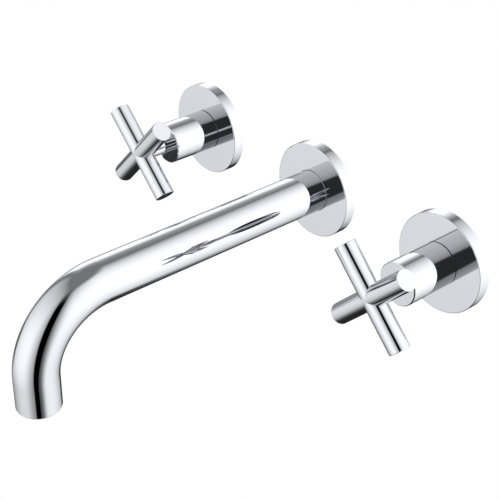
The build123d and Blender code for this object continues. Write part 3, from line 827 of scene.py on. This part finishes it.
# Cross heads: two round bars, crossed, on a stem whose tail sits in the base
crossLook = {
    "restAngle": {"left": 48, "right": 46},
    "armRadius": 0.006,
    "armSpan": 0.062,
    "armEdge": 0.0004,
    "stemRadius": 0.0052,
    "tailRadius": 0.004,
    "sides": 144,
    "edgeSteps": 6,
    "weld": 0.0000002,
}


# Where two round bars of one size cross squarely, they meet on two mitres. Each of the four arms runs
# from its mitre to its rounded end, and the arms share their mitred edges.
def crossedBars(name, centre, along, card):
    radius = card["armRadius"]
    half = card["armSpan"] / 2
    edge = card["armEdge"]
    depth = Vector((0, 1, 0))
    angles = [2 * pi * side / card["sides"] for side in range(card["sides"])]
    turns = [pi / 2 * step / card["edgeSteps"] for step in range(card["edgeSteps"] + 1)]
    ends = [(half - edge + edge * sin(turn), radius - edge + edge * cos(turn)) for turn in turns]
    shape = bmesh.new()
    for quarter in range(4):
        arm = Matrix.Rotation(quarter * pi / 2, 3, "Y") @ along
        across = Matrix.Rotation(pi / 2, 3, "Y") @ arm
        rounds = [across * cos(a) + depth * sin(a) for a in angles]
        rings = [[centre + arm * (radius * abs(cos(a))) + way * radius for a, way in zip(angles, rounds)]]
        rings += [[centre + arm * reach + way * size for way in rounds] for reach, size in ends]
        rings = [[shape.verts.new(point) for point in ring] for ring in rings]
        tip = shape.verts.new(centre + arm * half)
        for near, far in zip(rings, rings[1:]):
            for side in range(len(angles)):
                shape.faces.new((near[side - 1], near[side], far[side], far[side - 1]))
        for side in range(len(angles)):
            shape.faces.new((rings[-1][side - 1], rings[-1][side], tip))
    bmesh.ops.remove_doubles(shape, verts=shape.verts, dist=card["weld"])
    bmesh.ops.recalc_face_normals(shape, faces=shape.faces)
    mesh = bpy.data.meshes.new(name)
    shape.to_mesh(mesh)
    shape.free()
    return mesh


def makeCross(side, card, material):
    low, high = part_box(side + "_cross_head")
    radius = card["armRadius"]
    half = card["armSpan"] / 2
    edge = card["armEdge"]
    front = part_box(side + "_handle_base")[0].y
    centre = Vector(((low.x + high.x) / 2, low.y + radius, 0))
    angle = radians(card["restAngle"][side])
    along = Vector((cos(angle), 0, sin(angle)))
    across = Vector((-sin(angle), 0, cos(angle)))
    meshes = [crossedBars("arms", centre, along, card)]
    surfaces = []
    for axis in (along, across):
        surfaces.append(roundSurface(centre, axis, radius))
        for end in (-1, 1):
            surfaces.append(ringSurface(centre + axis * (half - edge) * end, axis, radius - edge, edge))
    depth = centre.y
    corners = [(depth, 0, 0), (depth, card["stemRadius"], 0), (front, card["stemRadius"], 0),
               (front, card["tailRadius"], 0), (high.y, card["tailRadius"], 0), (high.y, 0, 0)]
    middle = Vector((centre.x, 0, 0))
    meshes.append(turnedMesh("stem", corners, middle, (0, 1, 0), card["sides"]))
    surfaces += [roundSurface(middle, (0, 1, 0), card[key]) for key in ("stemRadius", "tailRadius")]
    mesh = joinSolids(side + "Cross", meshes)
    mesh.materials.clear()
    mesh.materials.append(material)
    setTrueNormals(mesh, surfaces)
    piece = placePiece(side + "Cross", mesh)
    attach(piece, side + "_handle")
    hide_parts(side + "_cross_head")


for side in ("left", "right"):
    makeCross(side, crossLook, chrome)
print("cross heads ready")

# What reaches into the wall isn't seen in the polish of what stands in the room
wallDepth = 0.005
for piece in scene.objects:
    if piece.type == "MESH" and max(point.co.y for point in piece.data.vertices) > wallDepth:
        piece.visible_glossy = False

# Wall and floor
stageLook = {
    "wallHalf": 3.0,
    "wallGap": 0.0002,
    "floorHeight": -0.65,
    "floorHalf": 3.0,
    "floorColour": (0.97, 0.97, 0.975, 1),
}


def makePlane(name, corners):
    mesh = bpy.data.meshes.new(name)
    mesh.from_pydata(corners, [], [(0, 1, 2, 3)])
    plane = bpy.data.objects.new(name, mesh)
    scene.collection.objects.link(plane)
    return plane


def makeWall(card):
    half = card["wallHalf"]
    low = card["floorHeight"]
    gap = card["wallGap"]
    corners = [(-half, gap, low), (half, gap, low), (half, gap, half), (-half, gap, half)]
    wall = makePlane("finishedWall", corners)
    material, tree = newMaterial("whiteWall")
    front = tree.node("ShaderNodeEmission", Color=(1, 1, 1, 1), Strength=1.0)
    behind = tree.node("ShaderNodeBsdfTransparent")
    side = tree.node("ShaderNodeNewGeometry")
    both = tree.node("ShaderNodeMixShader", i0=side.outputs["Backfacing"], i1=front.outputs[0],
                     i2=behind.outputs[0])
    tree.node("ShaderNodeOutputMaterial", Surface=both.outputs[0])
    wall.data.materials.append(material)
    for kind in ("diffuse", "glossy", "transmission", "shadow", "volume_scatter"):
        setattr(wall, "visible_" + kind, False)


def makeFloor(card):
    half = card["floorHalf"]
    low = card["floorHeight"]
    corners = [(-half, -half, low), (half, -half, low), (half, half, low), (-half, half, low)]
    floor = makePlane("paleFloor", corners)
    material, tree = newMaterial("paleFloor")
    shader = tree.node("ShaderNodeBsdfDiffuse", Color=card["floorColour"])
    tree.node("ShaderNodeOutputMaterial", Surface=shader.outputs[0])
    floor.data.materials.append(material)
    floor.visible_glossy = False


makeWall(stageLook)
makeFloor(stageLook)
print("wall and floor ready")

# Camera, at the photograph's angle and distance, for a square frame
view = {
    "azimuth": 48.83,
    "elevation": 32.93,
    "roll": 1.33,
    "place": (0.43924, -0.43843, 0.35512),
    "lens": 86.43,
    "sensor": 36.0,
    "clip": (0.01, 50.0),
}


def makeCamera(card):
    azimuth, elevation, roll = (radians(card[key]) for key in ("azimuth", "elevation", "roll"))
    back = Vector((sin(azimuth) * cos(elevation), -cos(azimuth) * cos(elevation), sin(elevation)))
    level = Vector((cos(azimuth), sin(azimuth), 0))
    upright = back.cross(level)
    right = level * cos(roll) + upright * sin(roll)
    up = upright * cos(roll) - level * sin(roll)
    data = bpy.data.cameras.new("camera")
    data.lens = card["lens"]
    data.sensor_width = card["sensor"]
    data.clip_start, data.clip_end = card["clip"]
    camera = bpy.data.objects.new("camera", data)
    scene.collection.objects.link(camera)
    turn = Matrix((right, up, back)).transposed().to_4x4()
    camera.matrix_world = Matrix.Translation(card["place"]) @ turn
    scene.camera = camera


makeCamera(view)
print("camera ready")

scene.view_settings.view_transform = "Standard"
